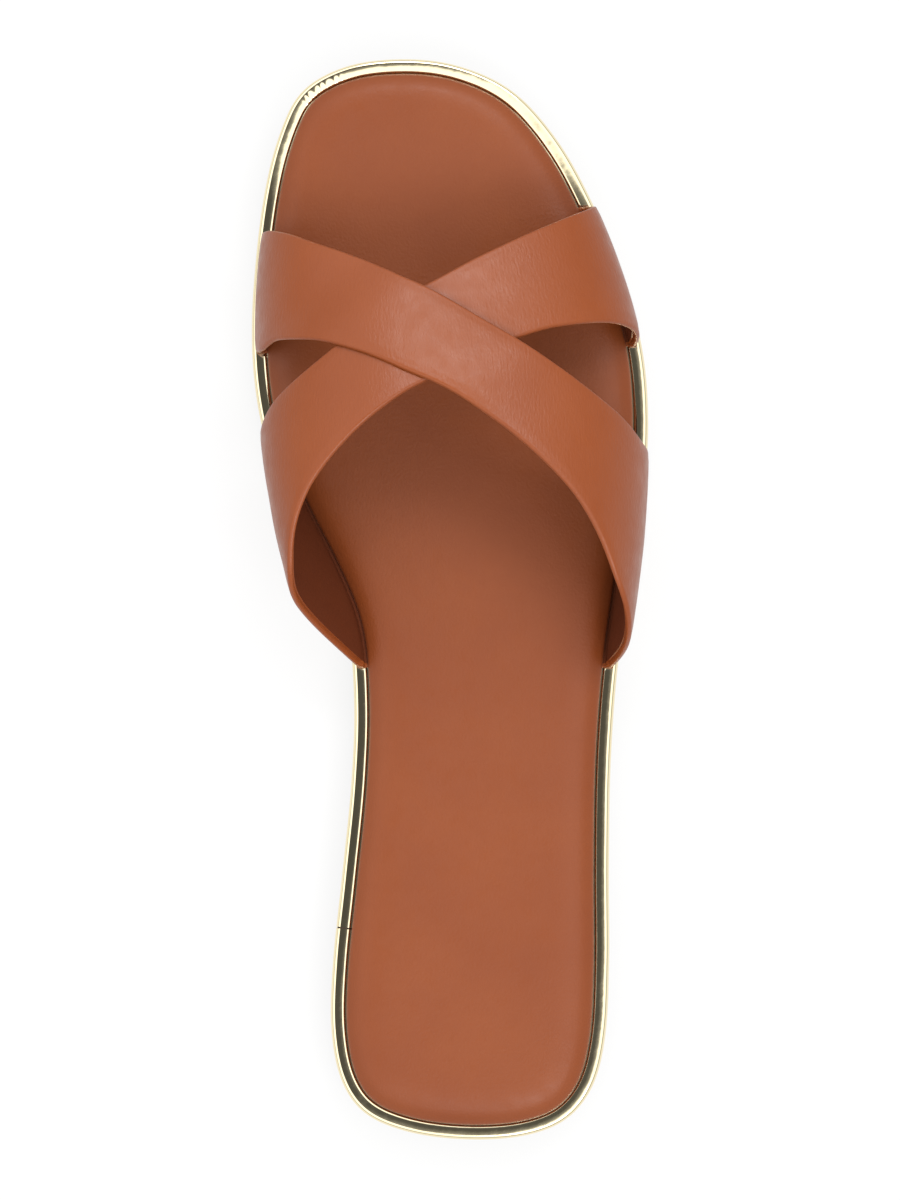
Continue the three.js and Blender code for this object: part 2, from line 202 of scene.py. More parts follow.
# Side view of the sole: share of the length, then of the heel rise, the arch rise and the toe spring
SIDE_VIEW = [
    (0.0, 1, 0, 0),
    (0.14, 0.98, 0, 0),
    (0.26, 0.85, 0, 0),
    (0.34, 0.66, 0.7, 0),
    (0.42, 0.43, 1, 0),
    (0.5, 0.2, 0.62, 0),
    (0.58, 0.05, 0, 0),
    (0.66, 0, 0, 0),
    (0.76, 0, 0, 0),
    (0.86, 0, 0, 0.2),
    (0.94, 0, 0, 0.6),
    (1.0, 0, 0, 1),
]

# Rolled edge of the insole: share of the roll, share of the thickness
PAD_SECTION = [
    (0.0, 0.3),
    (0.02, 0.43),
    (0.08, 0.58),
    (0.16, 0.73),
    (0.25, 0.84),
    (0.38, 0.925),
    (0.62, 0.982),
    (1.0, 1.0),
]

# Last under the straps: share of the length, height, place of the top line, swell of the inner and outer wall
LAST = [
    (0.42, 1.0, -0.09, 0.14, 0.068),
    (0.48, 0.95, -0.09, 0.147, 0.07),
    (0.54, 0.88, -0.09, 0.126, 0.066),
    (0.6, 0.8, -0.09, 0.081, 0.049),
    (0.66, 0.72, -0.09, 0.038, 0.032),
    (0.72, 0.64, -0.095, 0.011, 0.031),
    (0.78, 0.56, -0.1, 0.006, 0.037),
    (0.84, 0.49, -0.105, 0.006, 0.039),
    (0.9, 0.43, -0.11, 0.006, 0.039),
]

# Edges of the straps: share of the way over the foot from the inner side, then of the length, front and rear
OVER_STRAP = [
    (0.0, 0.839, 0.729),
    (0.1, 0.839, 0.728),
    (0.2, 0.835, 0.736),
    (0.3, 0.824, 0.734),
    (0.4, 0.81, 0.723),
    (0.5, 0.787, 0.701),
    (0.6, 0.746, 0.66),
    (0.7, 0.706, 0.601),
    (0.8, 0.669, 0.514),
    (0.9, 0.641, 0.464),
    (1.0, 0.632, 0.437),
]
UNDER_STRAP = [
    (0.0, 0.648, 0.437),
    (0.1, 0.655, 0.481),
    (0.2, 0.682, 0.522),
    (0.3, 0.711, 0.603),
    (0.4, 0.743, 0.654),
    (0.5, 0.777, 0.69),
    (0.6, 0.812, 0.726),
    (0.7, 0.837, 0.747),
    (0.8, 0.853, 0.752),
    (0.9, 0.861, 0.747),
    (1.0, 0.864, 0.735),
]


# Functions of one variable through a table's column
def through(rows, column):
    x = np.array([row[0] for row in rows], float)
    y = np.array([row[column] for row in rows], float)
    step = np.diff(y) / np.diff(x)
    slope = np.zeros(len(x))
    slope[0], slope[-1] = step[0], step[-1]
    for i in range(1, len(x) - 1):
        before, after = step[i - 1], step[i]
        slope[i] = 0 if before * after <= 0 else 2 * before * after / (before + after)

    def value(at):
        c = np.clip(at, x[0], x[-1])
        i = np.clip(np.searchsorted(x, c, side="left") - 1, 0, len(x) - 2)
        width = x[i + 1] - x[i]
        t = (c - x[i]) / width
        rise = (y[i + 1] - y[i]) * t * t * (3 - 2 * t)
        return y[i] + rise + width * t * (1 - t) * (slope[i] * (1 - t) - slope[i + 1] * t)

    return value


def smoothstep(x, low, high):
    t = np.clip((x - low) / (high - low), 0, 1)
    return t * t * (3 - 2 * t)


def share_at(y):
    return y / SOLE_LENGTH + 0.5


def length_at(along):
    return (along - 0.5) * SOLE_LENGTH


# Heights of the layers
heel_at = through(SIDE_VIEW, 1)
arch_at = through(SIDE_VIEW, 2)
toe_at = through(SIDE_VIEW, 3)


def ground_z(y):
    return arch_at(share_at(y)) * ARCH_RISE + toe_at(share_at(y)) * TOE_SPRING


def outsole_top_z(y):
    return OUTSOLE_THICKNESS + heel_at(share_at(y)) * HEEL_RISE + toe_at(share_at(y)) * TOE_SPRING


def platform_z(y):
    return outsole_top_z(y) + CLEARANCE


def rim_z(y):
    return platform_z(y) + RAND_HEIGHT


def seat_z(y):
    return rim_z(y) - BEAD_DROP


def insole_z(y):
    return seat_z(y) + CLEARANCE


# Outline: a closed centripetal curve, evenly spaced and smoothed, anticlockwise from the heel's back
def closed_curve(points, steps):
    out = []
    count = len(points)
    t = np.linspace(0, 1, steps, endpoint=False)[:, None]
    for i in range(count):
        p0, p1, p2, p3 = (points[(i + k) % count] for k in (-1, 0, 1, 2))
        d0, d1, d2 = (np.sqrt(np.linalg.norm(b - a)) for a, b in ((p0, p1), (p1, p2), (p2, p3)))
        m1 = ((p1 - p0) / d0 - (p2 - p0) / (d0 + d1) + (p2 - p1) / d1) * d1
        m2 = ((p2 - p1) / d1 - (p3 - p1) / (d1 + d2) + (p3 - p2) / d2) * d1
        out.append(
            p1 + m1 * t + (3 * (p2 - p1) - 2 * m1 - m2) * t**2 + (2 * (p1 - p2) + m1 + m2) * t**3
        )
    return np.concatenate(out)


def even_points(points, count):
    closed = np.vstack([points, points[:1]])
    run = np.concatenate([[0], np.cumsum(np.linalg.norm(np.diff(closed, axis=0), axis=1))])
    at = np.linspace(0, run[-1], count, endpoint=False)
    return np.column_stack([np.interp(at, run, closed[:, k]) for k in range(2)]), run[-1]


def sample_outline():
    table = np.array([(side * BALL_WIDTH, length_at(along)) for along, side in OUTLINE])
    points, length = even_points(closed_curve(table, CURVE_STEPS), OUTLINE_SAMPLES)
    points -= (points.min(axis=0) + points.max(axis=0)) / 2
    wave = np.fft.fft(points[:, 0] + 1j * points[:, 1])
    turns = np.fft.fftfreq(OUTLINE_SAMPLES, d=length / OUTLINE_SAMPLES) * 2 * math.pi
    blur = np.exp(-0.5 * (turns * OUTLINE_SMOOTHING) ** 2)
    smooth = np.fft.ifft(wave * (2 * blur - blur**2))
    points = np.column_stack([smooth.real, smooth.imag])
    points, _ = even_points(points, OUTLINE_SAMPLES)
    points = np.roll(points, -int(np.argmin(points[:, 1])), axis=0)
    run = np.roll(points, -4, axis=0) - np.roll(points, 4, axis=0)
    run /= np.linalg.norm(run, axis=1)[:, None]
    return points, np.column_stack([run[:, 1], -run[:, 0]])


outline_points, outline_normals = sample_outline()
toe_index = int(np.argmax(outline_points[:, 1]))


# The outline and its outward directions at fractional sample numbers
def outline_at(index):
    index = np.asarray(index, float) % OUTLINE_SAMPLES
    low = np.floor(index).astype(int)
    share = (index - low)[:, None]
    high = (low + 1) % OUTLINE_SAMPLES
    point = outline_points[low] * (1 - share) + outline_points[high] * share
    normal = outline_normals[low] * (1 - share) + outline_normals[high] * share
    return point, normal / np.linalg.norm(normal, axis=1)[:, None]


# Sample numbers at given places along the shoe, on the outer and the inner side
def index_at(y, outer):
    if outer:
        return np.interp(y, outline_points[: toe_index + 1, 1], np.arange(toe_index + 1))
    numbers = np.arange(toe_index, OUTLINE_SAMPLES)
    return np.interp(y, outline_points[toe_index:, 1][::-1], numbers[::-1])


def paired_outline():
    low, high = outline_points[:, 1].min(), outline_points[:, 1].max()
    y = low + (high - low) * (1 - np.cos(np.pi * np.arange(ROWS + 1) / ROWS)) / 2
    outer = index_at(y, True)
    inner = index_at(y, False)
    outer[0], outer[-1] = 0, toe_index
    return outline_at(np.concatenate([outer, inner[1:-1][::-1]]))


row_points, row_normals = paired_outline()
RING = len(row_points)


def ring(inset, height_at):
    moved = row_points - row_normals * np.asarray(inset).reshape(-1, 1)
    return np.column_stack([moved, height_at(moved[:, 1])])


# Meshes
class Shell:
    def __init__(self):
        self.points = []
        self.faces = []
        self.slots = []
        self.size = 0

    def add(self, points):
        first = self.size
        self.points.append(np.asarray(points, float))
        self.size += len(points)
        return first

    def face(self, *corners, slot=0):
        self.faces.append(corners)
        self.slots.append(slot)

    def band(self, a, b, count, closed=True):
        for i in range(count if closed else count - 1):
            j = (i + 1) % count
            self.face(a + i, a + j, b + j, b + i)

    # Fills a ring whose points pair across the shoe, by rings that shrink to a centre line
    def cap(self, first, steps, height_at, upwards=True):
        rim = np.vstack(self.points)[first : first + RING]
        low, high = rim[:, 1].min(), rim[:, 1].max()
        pair = (RING - np.arange(RING)) % RING
        centre = (rim[:, 0] + rim[pair, 0]) / 2
        share = ((rim[:, 1] + rim[pair, 1]) / 2 - low) / (high - low)
        margin = CAP_MARGIN * (rim[:, 0].max() - rim[:, 0].min())
        ends = smoothstep(share, 0, CAP_END) * (1 - smoothstep(share, 1 - CAP_END, 1))
        middle_y = ((rim[:, 1] + rim[pair, 1]) / 2)[: ROWS + 1]
        heel_x, toe_x = np.interp((low + margin, high - margin), middle_y, centre[: ROWS + 1])
        line_x = np.where(share < 0.5, heel_x, toe_x) * (1 - ends) + centre * ends
        line = np.column_stack([line_x, low + margin + share * (high - low - 2 * margin)])
        before = first
        for step in range(1, steps):
            part = step / steps
            flat = rim[:, :2] * (1 - part) + line * part
            now = self.add(np.column_stack([flat, height_at(flat[:, 0], flat[:, 1])]))
            self.band(*((before, now) if upwards else (now, before)), RING)
            before = now
        flat = line[: ROWS + 1]
        spine = self.add(np.column_stack([flat, height_at(flat[:, 0], flat[:, 1])]))
        for i in range(RING):
            j = (i + 1) % RING
            a, b = spine + min(i, RING - i), spine + min(j, RING - j)
            if i in (0, ROWS):
                pieces = [(before + i, before + j, a), (before + j, b, a)]
            elif j in (0, ROWS):
                pieces = [(before + i, before + j, b), (before + i, b, a)]
            else:
                pieces = [(before + i, before + j, b, a)]
            for corners in pieces:
                self.face(*(corners if upwards else corners[::-1]))

    def build(self, name, materials, uv=None, smooth_angle=40):
        points = np.vstack(self.points) * MM
        mesh = bpy.data.meshes.new(name)
        mesh.from_pydata(points.tolist(), [], self.faces)
        if uv is not None:
            layer = mesh.uv_layers.new(name="grain")
            corner = np.empty(len(mesh.loops), int)
            mesh.loops.foreach_get("vertex_index", corner)
            layer.data.foreach_set("uv", np.asarray(uv, float)[corner].ravel())
        for one in materials:
            mesh.materials.append(one)
        mesh.polygons.foreach_set("material_index", self.slots)
        work = bmesh.new()
        work.from_mesh(mesh)
        bmesh.ops.recalc_face_normals(work, faces=work.faces)
        work.to_mesh(mesh)
        work.free()
        mesh.polygons.foreach_set("use_smooth", [True] * len(mesh.polygons))
        mesh.set_sharp_from_angle(angle=math.radians(smooth_angle))
        mesh.update()
        obj = bpy.data.objects.new(name, mesh)
        bpy.context.scene.collection.objects.link(obj)
        return obj


# Materials
def start_material(name):
    made = bpy.data.materials.new(name)
    made.use_nodes = True
    tree = made.node_tree
    tree.nodes.clear()
    output = tree.nodes.new("ShaderNodeOutputMaterial")
    shader = tree.nodes.new("ShaderNodeBsdfPrincipled")
    tree.links.new(shader.outputs[0], output.inputs[0])
    return made, tree, shader


def coordinates(tree, kind, scale):
    source = tree.nodes.new("ShaderNodeTexCoord")
    mapping = tree.nodes.new("ShaderNodeMapping")
    mapping.inputs["Scale"].default_value = scale
    tree.links.new(source.outputs[kind], mapping.inputs["Vector"])
    return mapping.outputs[0]


def noise(tree, vector, scale, detail=2.0, rough=0.5):
    made = tree.nodes.new("ShaderNodeTexNoise")
    made.inputs["Scale"].default_value = scale
    made.inputs["Detail"].default_value = detail
    made.inputs["Roughness"].default_value = rough
    tree.links.new(vector, made.inputs["Vector"])
    return made.outputs["Fac"]


def cells(tree, vector, scale):
    made = tree.nodes.new("ShaderNodeTexVoronoi")
    made.feature = "SMOOTH_F1"
    made.inputs["Scale"].default_value = scale
    made.inputs["Smoothness"].default_value = 0.6
    tree.links.new(vector, made.inputs["Vector"])
    return made.outputs["Distance"]


def spread(tree, value, low, high, start=0.0, end=1.0):
    made = tree.nodes.new("ShaderNodeMapRange")
    made.inputs["From Min"].default_value = start
    made.inputs["From Max"].default_value = end
    made.inputs["To Min"].default_value = low
    made.inputs["To Max"].default_value = high
    tree.links.new(value, made.inputs["Value"])
    return made.outputs[0]


def blend_colours(tree, factor, first, second):
    made = tree.nodes.new("ShaderNodeMix")
    made.data_type = "RGBA"
    tree.links.new(factor, made.inputs["Factor"])
    for socket, colour in ((made.inputs[6], first), (made.inputs[7], second)):
        if isinstance(colour, tuple):
            socket.default_value = (*colour, 1)
        else:
            tree.links.new(colour, socket)
    return made.outputs[2]


def bump(tree, height, strength, distance, normal=None):
    made = tree.nodes.new("ShaderNodeBump")
    made.inputs["Strength"].default_value = strength
    made.inputs["Distance"].default_value = distance
    tree.links.new(height, made.inputs["Height"])
    if normal is not None:
        tree.links.new(normal, made.inputs["Normal"])
    return made.outputs[0]


def leather(name, light, dark, roughness, grain, specular, draw, sheen=0.0):
    made, tree, shader = start_material(name)
    plain = coordinates(tree, "UV", (1, 1, 1))
    drawn = coordinates(tree, "UV", (1, draw, 1))
    clouds = noise(tree, plain, 32, 3.0)
    mottle = noise(tree, plain, 420, 2.0)
    tone = blend_colours(tree, spread(tree, clouds, 0, 1, 0.3, 0.7), light, dark)
    fine = blend_colours(tree, spread(tree, mottle, 0, 0.3, 0.35, 0.75), tone, dark)
    tree.links.new(fine, shader.inputs["Base Color"])
    pebbles = bump(tree, cells(tree, plain, 1500), grain, 0.00006)
    wrinkles = bump(tree, noise(tree, drawn, 1650, 2.0), grain * 1.7, 0.00014, pebbles)
    swell = bump(tree, noise(tree, plain, 60, 2.0), 0.07, 0.0004, wrinkles)
    tree.links.new(swell, shader.inputs["Normal"])
    gloss = noise(tree, plain, 260, 3.0)
    tree.links.new(
        spread(tree, gloss, roughness - 0.05, roughness + 0.07, 0.3, 0.7), shader.inputs["Roughness"]
    )
    shader.inputs["Specular IOR Level"].default_value = specular
    shader.inputs["Sheen Weight"].default_value = sheen
    shader.inputs["Sheen Roughness"].default_value = 0.3
    return made


def gold_finish(name):
    made, tree, shader = start_material(name)
    plain = coordinates(tree, "Object", (1, 1, 1))
    clouds = noise(tree, plain, 55, 2.0)
    tone = blend_colours(tree, clouds, (0.86, 0.75, 0.48), (0.9, 0.79, 0.54))
    tree.links.new(tone, shader.inputs["Base Color"])
    shader.inputs["Metallic"].default_value = 1.0
    haze = noise(tree, plain, 700, 3.0)
    tree.links.new(spread(tree, haze, 0.03, 0.09, 0.3, 0.8), shader.inputs["Roughness"])
    ripple = bump(tree, noise(tree, plain, 170, 2.0), 0.22, 0.0002)
    pits = bump(tree, noise(tree, plain, 900, 2.0), 0.05, 0.00006, ripple)
    tree.links.new(pits, shader.inputs["Normal"])
    return made


def moulded(name, light, dark, speckle_scale, roughness, bump_distance):
    made, tree, shader = start_material(name)
    plain = coordinates(tree, "Object", (1, 1, 1))
    clouds = noise(tree, plain, 45, 3.0)
    speckle = noise(tree, plain, speckle_scale, 4.0)
    tone = blend_colours(tree, spread(tree, clouds, 0, 1, 0.3, 0.7), light, dark)
    fine = blend_colours(tree, spread(tree, speckle, 0, 0.5, 0.45, 0.8), tone, dark)
    tree.links.new(fine, shader.inputs["Base Color"])
    tree.links.new(
        spread(tree, speckle, roughness - 0.08, roughness + 0.08, 0.3, 0.7), shader.inputs["Roughness"]
    )
    relief = bump(tree, speckle, 0.4, bump_distance)
    tree.links.new(relief, shader.inputs["Normal"])
    return made


strap_face = leather(
    "strap leather",
    light=(0.232, 0.0545, 0.0125),
    dark=(0.208, 0.0465, 0.0104),
    roughness=0.34,
    grain=0.3,
    specular=0.3,
    draw=0.36,
)
strap_lining = leather(
    "strap lining",
    light=(0.108, 0.0245, 0.0078),
    dark=(0.092, 0.0205, 0.0066),
    roughness=0.66,
    grain=0.2,
    specular=0.12,
    draw=0.8,
)
insole_cover_finish = leather(
    "insole leather",
    light=(0.206, 0.0488, 0.0114),
    dark=(0.184, 0.041, 0.0094),
    roughness=0.45,
    grain=0.28,
    specular=0.28,
    draw=0.8,
    sheen=0.06,
)
gold = gold_finish("gold finish")
rubber = moulded(
    "outsole rubber",
    light=(0.085, 0.03, 0.016),
    dark=(0.06, 0.021, 0.0115),
    speckle_scale=1400,
    roughness=0.7,
    bump_distance=0.00008,
)
cement = moulded(
    "seam cement",
    light=(0.05, 0.03, 0.018),
    dark=(0.03, 0.02, 0.012),
    speckle_scale=1200,
    roughness=0.8,
    bump_distance=0.00005,
)
foam = moulded(
    "platform foam",
    light=(0.19, 0.084, 0.042),
    dark=(0.14, 0.06, 0.028),
    speckle_scale=900,
    roughness=0.85,
    bump_distance=0.00015,
)

# Straps
last_height = through(LAST, 1)
last_ridge = through(LAST, 2)
last_inner = through(LAST, 3)
last_outer = through(LAST, 4)


def edge_lines(inset):
    moved = outline_points - outline_normals * inset
    outer = moved[: toe_index + 1]
    inner = moved[toe_index:][::-1]
    return outer, inner


strap_outer, strap_inner = edge_lines(RIM_WIDTH - STRAP_GAP - STRAP_THICKNESS / 2)


def strap_edge(y, outer):
    on_outer = np.interp(y, strap_outer[:, 1], strap_outer[:, 0])
    on_inner = np.interp(y, strap_inner[:, 1], strap_inner[:, 0])
    return np.where(outer, on_outer, on_inner)


def past_end(around):
    return np.maximum(np.maximum(-around, around - 1), 0)


def last_points(around, y):
    share = share_at(y)
    outer = around > 0.5
    side = np.where(outer, 1.0, -1.0)
    edge = strap_edge(y, outer)
    turn_z = seat_z(y) + STRAP_GAP + SKIVED_THICKNESS / 2 + TURN_RADIUS
    past = past_end(around)
    turn = np.minimum(past / TURN_ROUND, 1) * (math.pi / 2)
    run = np.maximum(past - TURN_ROUND, 0) / TAB_ROUND * LASTING_MARGIN
    inwards = TURN_RADIUS * (1 - np.cos(turn)) + run
    angle = np.clip(np.minimum(around, 1 - around), 0, 0.5) * math.pi
    ridge = last_ridge(share) * BALL_WIDTH
    swell = np.where(outer, last_outer(share), last_inner(share)) * BALL_WIDTH
    cosine = np.clip(np.cos(angle), 0, 1)
    reach = (edge - ridge) * cosine**SECTION_FULLNESS
    belly = side * swell * np.sin(2 * angle) * cosine / BELLY_PEAK
    height = last_height(share) * STRAP_HEIGHT * np.sin(angle) ** SECTION_FULLNESS
    x = np.where(past > 0, edge - side * inwards, ridge + reach + belly)
    z = np.where(past > 0, turn_z - TURN_RADIUS * np.sin(turn), turn_z + height)
    return np.stack([x, y, z], axis=-1)


def unit(vectors):
    return vectors / np.maximum(np.linalg.norm(vectors, axis=-1, keepdims=True), 1e-9)


def last_normals(around, y):
    along_round = last_points(around + 0.004, y) - last_points(around - 0.004, y)
    along_y = last_points(around, y + 0.5) - last_points(around, y - 0.5)
    return unit(np.cross(along_round, along_y))


under_front, under_rear = through(UNDER_STRAP, 1), through(UNDER_STRAP, 2)


def crossing_lift(around, y):
    outside = np.maximum(length_at(under_rear(around)) - y, y - length_at(under_front(around)))
    return (STRAP_THICKNESS - CROSSING_BITE) * (1 - smoothstep(outside, 0, CROSSING_RAMP))


def strap_stations():
    turn = np.linspace(0, TURN_ROUND, TURN_STATIONS)[1:]
    tab = np.linspace(TURN_ROUND, TURN_ROUND + TAB_ROUND, TAB_STATIONS)[1:]
    past = np.concatenate([turn, tab])
    return np.concatenate([-past[::-1], np.linspace(0, 1, WALL_STATIONS), 1 + past])


def smoothed(grid, times):
    for _ in range(times):
        grid[1:-1] = (grid[:-2] + 2 * grid[1:-1] + grid[2:]) / 4
    return grid


# One strap as a closed shell: outer face, turned edges, margin and the lining set back from the edges
def strap_shell(shell, rows, seed, lifted):
    around = strap_stations()
    front = length_at(through(rows, 1)(around))
    rear = length_at(through(rows, 2)(around))
    skive = smoothstep(past_end(around), 0, TURN_ROUND)
    half = (STRAP_THICKNESS * (1 - skive) + SKIVED_THICKNESS * skive) / 2

    def slope(edge_y):
        steady = last_points(around, edge_y)
        run = np.linalg.norm(np.gradient(steady, axis=0)[:, [0, 2]], axis=1)
        return np.gradient(edge_y) / np.maximum(run, 0.05)

    front_in = front - FRONT_EDGE_ROUND * half * np.sqrt(1 + slope(front) ** 2)
    rear_in = rear + REAR_EDGE_ROUND * half * np.sqrt(1 + slope(rear) ** 2)
    share = np.linspace(0, 1, ACROSS)
    y = rear_in[:, None] + (front_in - rear_in)[:, None] * share[None, :]
    a = np.repeat(around[:, None], ACROSS, axis=1)
    middle = last_points(a, y)
    if lifted:
        middle = middle + last_normals(a, y) * crossing_lift(a, y)[..., None]
    middle = smoothed(middle, MIDDLE_SMOOTHING)
    along = np.gradient(middle, axis=0)
    across = np.gradient(middle, axis=1)
    normal = unit(np.cross(along, across))
    free = 1 - smoothstep(past_end(around), 0, 0.02)

    # Slight hand-made unevenness of the face
    phase = np.random.default_rng(seed).uniform(0, 2 * math.pi, 6)
    uneven = (
        np.sin(a * 17 + y * 0.05 + phase[0])
        + np.sin(a * 29 - y * 0.11 + phase[1])
        + np.sin(a * 9 + y * 0.19 + phase[2])
    )
    middle = middle + normal * (uneven * UNEVEN_HEIGHT * free[:, None])[..., None]

    length = np.linalg.norm(np.diff(middle[:, ACROSS // 2], axis=0), axis=1)
    run = np.concatenate([[0], np.cumsum(length)])

    width = np.linalg.norm(middle[:, -1] - middle[:, 0], axis=1)[:, None]
    off_edge = np.minimum(share[None, :], 1 - share[None, :]) * width
    pinch = EDGE_PINCH * (1 - smoothstep(off_edge, 0, PINCH_REACH)) * free[:, None]
    outer_off = half[:, None] - pinch
    margin = LINING_SETBACK / width
    step, start = margin * 1.12, margin * 1.2
    inside = start + (1 - 2.4 * margin) * np.linspace(0, 1, LINING_ACROSS)[None, 1:-1].repeat(len(a), 0)
    rear_end, front_end = np.zeros_like(width), np.ones_like(width)
    inner_share = np.concatenate([rear_end, margin, step, inside, 1 - step, 1 - margin, front_end], axis=1)
    raised = np.ones(inner_share.shape[1])
    raised[[0, 1, -1, -2]] = 0

    def at_share(grid, where):
        place = np.clip(where * (ACROSS - 1), 0, ACROSS - 1.000001)
        low = place.astype(int)
        part = (place - low)[..., None]
        rows_index = np.arange(len(a))[:, None]
        return grid[rows_index, low] * (1 - part) + grid[rows_index, low + 1] * part

    face = middle + normal * outer_off[..., None]
    inner_middle = at_share(middle, inner_share)
    inner_normal = unit(at_share(normal, inner_share))
    off_inner = np.minimum(inner_share, 1 - inner_share) * width
    inner_pinch = LINING_PINCH * (1 - smoothstep(off_inner, 0, LINING_PINCH_REACH)) * free[:, None]
    inner_off = inner_pinch - half[:, None] - LINING_THICKNESS * raised[None, :] * free[:, None]
    back = inner_middle + inner_normal * inner_off[..., None]
    edge_turn = np.linspace(0, math.pi, EDGE_ARC + 2)[1:-1]

    def edge(column, sign, round_off):
        centre = middle[:, column]
        up = normal[:, column]
        tangent = unit(np.gradient(centre, axis=0))
        out = unit(np.cross(up, tangent)) * sign
        high = outer_off[:, column]
        deep = half - LINING_PINCH * free
        arc = []
        for turn in edge_turn:
            rise = np.where(math.cos(turn) > 0, high, deep) * math.cos(turn)
            arc.append(centre + up * rise[:, None] + out * (half * round_off * math.sin(turn))[:, None])
        return np.stack(arc, axis=1)

    front_edge = edge(ACROSS - 1, 1, FRONT_EDGE_ROUND)
    rear_edge = edge(0, -1, REAR_EDGE_ROUND)
    loop = np.concatenate([face, front_edge, back[:, ::-1], rear_edge[:, ::-1]], axis=1)
    count = loop.shape[1]
    inner_count = back.shape[1]
    uv_across = np.concatenate(
        [
            y,
            np.repeat(y[:, -1:], EDGE_ARC, 1) + np.linspace(*EDGE_GRAIN, EDGE_ARC),
            at_share(y[..., None], inner_share)[..., 0][:, ::-1] + LINING_GRAIN,
            np.repeat(y[:, :1], EDGE_ARC, 1) - np.linspace(*EDGE_GRAIN[::-1], EDGE_ARC),
        ],
        axis=1,
    )
    first = shell.add(loop.reshape(-1, 3))
    uv_along = np.repeat(run[:, None], count, 1) + seed * STRAP_GRAIN
    uv = np.stack([uv_along, uv_across], axis=-1).reshape(-1, 2)
    lining_low = ACROSS + EDGE_ARC + 2
    lining_high = ACROSS + EDGE_ARC + inner_count - 4
    for s in range(len(around) - 1):
        for i in range(count):
            j = (i + 1) % count
            p = first + s * count
            slot = 1 if lining_low <= i <= lining_high else 0
            shell.face(p + i, p + j, p + count + j, p + count + i, slot=slot)
    shell.face(*range(first, first + count))
    last = first + (len(around) - 1) * count
    shell.face(*reversed(range(last, last + count)))
    return uv * MM


def make_upper():
    shell = Shell()
    uv = [strap_shell(shell, UNDER_STRAP, 1, False), strap_shell(shell, OVER_STRAP, 2, True)]
    return shell.build("upper_skin", [strap_face, strap_lining], np.vstack(uv), 50)


upper_skin = make_upper()
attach(upper_skin, "root")
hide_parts("upper")


# Where the straps run in between the rand and the insole: 1 there, 0 elsewhere
def strap_passes(x, y):
    reach = np.zeros_like(y)
    outer = x > 0
    for rows in (OVER_STRAP, UNDER_STRAP):
        for on_outer, row in ((False, rows[0]), (True, rows[-1])):
            front, rear = length_at(row[1]), length_at(row[2])
            inside = np.minimum(y - rear, front - y)
            here = smoothstep(inside, *STRAP_PASS_EASE)
            reach = np.maximum(reach, np.where(outer == on_outer, here, 0))
    return reach


# Insole: a padded cover with a rolled edge
pad_height = through(PAD_SECTION, 1)


def outline_distance(x, y):
    x, y = np.ravel(x), np.ravel(y)
    near = np.empty(len(x))
    for first in range(0, len(x), 500):
        part = slice(first, first + 500)
        apart_x = x[part, None] - outline_points[None, ::2, 0]
        apart_y = y[part, None] - outline_points[None, ::2, 1]
        near[part] = np.sqrt((apart_x**2 + apart_y**2).min(axis=1))
    return near


def insole_top(x, y):
    inwards = np.clip((outline_distance(x, y) - RIM_WIDTH) / PAD_ROLL, 0, 1)
    settle = smoothstep(inwards, 0.35, 1.0)
    crown = 0.12 * np.sin(x * 0.09 + 0.6) * np.cos(y * 0.045) + 0.08 * np.sin(y * 0.13 + x * 0.05)
    return insole_z(y) + pad_height(inwards) * INSOLE_THICKNESS + crown * settle


def make_insole():
    shell = Shell()
    lifted = strap_passes(row_points[:, 0], row_points[:, 1]) * TAB_HOLLOW
    rings = [ring(TAB_HOLLOW_INSETS[0], insole_z)]
    for inset in TAB_HOLLOW_INSETS[1:]:
        now = ring(inset, insole_z)
        now[:, 2] += lifted
        rings.append(now)
    side = INSOLE_THICKNESS * PAD_SECTION[0][1]
    for turn in np.linspace(0, 1, 5)[1:]:
        tuck = INSOLE_FOOT_ROUND * 1.6 * (1 - math.sin(turn * math.pi / 2)) ** 1.5
        now = ring(RIM_WIDTH + COVER_SETBACK + tuck, insole_z)
        now[:, 2] += np.maximum(side * turn, lifted + 0.2 * turn)
        rings.append(now)
    for inwards in PAD_RINGS:
        now = ring(RIM_WIDTH + COVER_SETBACK * (1 - inwards) + inwards * PAD_ROLL, insole_z)
        now[:, 2] += pad_height(inwards) * INSOLE_THICKNESS
        rings.append(now)
    rings[-1][:, 2] = insole_top(rings[-1][:, 0], rings[-1][:, 1])
    starts = [shell.add(one) for one in rings]
    for a, b in zip(starts, starts[1:]):
        shell.band(a, b, RING)
    shell.cap(starts[-1], PAD_TOP_RINGS, insole_top)
    shell.cap(starts[0], PAD_FOOT_RINGS, lambda x, y: insole_z(y), upwards=False)
    points = np.vstack(shell.points)
    uv = (points[:, :2] + np.column_stack([points[:, 2] * 0.7, points[:, 2] * 0.2])) * MM
    return shell.build("insole_cover", [insole_cover_finish], uv, 55)


insole_cover = make_insole()
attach(insole_cover, "root")
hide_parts("insole")


